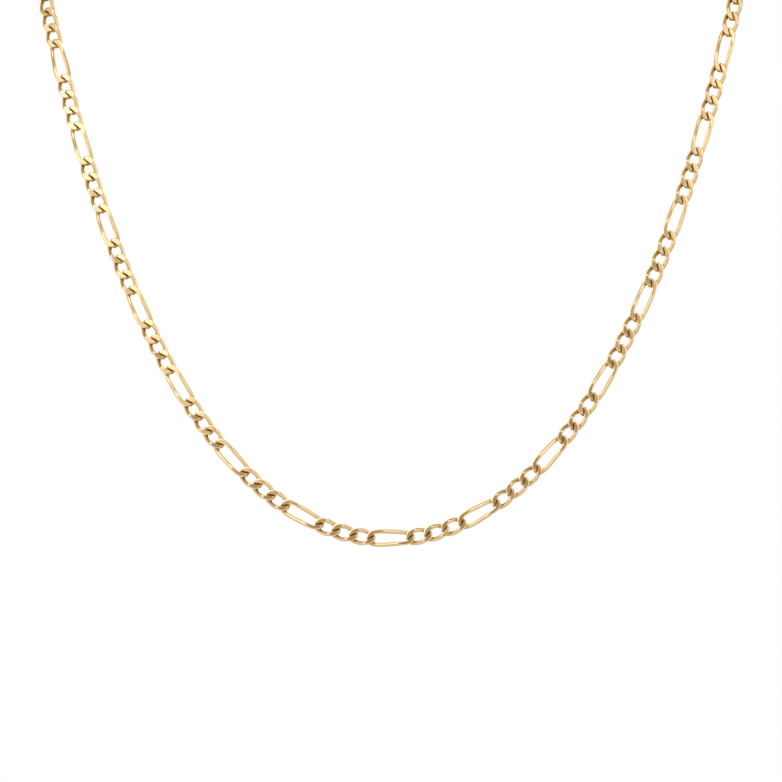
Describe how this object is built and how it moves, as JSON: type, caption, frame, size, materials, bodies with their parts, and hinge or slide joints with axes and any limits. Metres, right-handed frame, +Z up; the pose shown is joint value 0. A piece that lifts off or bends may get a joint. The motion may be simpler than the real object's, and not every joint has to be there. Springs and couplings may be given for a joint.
{
  "type": "figaro chain necklace",
  "caption": "Closed gold figaro chain necklace in its worn form, curb links ground flat on both faces, short links alternating with long ones, and a claw clasp at the nape.",
  "frame": {"origin": "the nape, at the middle of the clasp, where the necklace rests on the back of the neck", "axes": "+Z up, -Y the way the wearer faces, +X to the right as seen from in front"},
  "size_m": [0.1287, 0.0866, 0.1222],
  "materials": {
    "chain_gold": "polished yellow gold, ground faces",
    "ring_gold": "polished yellow gold",
    "clasp_gold": "cast and polished yellow gold"
  },
  "bodies": {
    "root": {"chain_left": "chain_gold", "chain_right": "chain_gold", "ring_left": "ring_gold", "ring_right": "ring_gold", "clasp": "clasp_gold"}
  },
  "joints": []
}
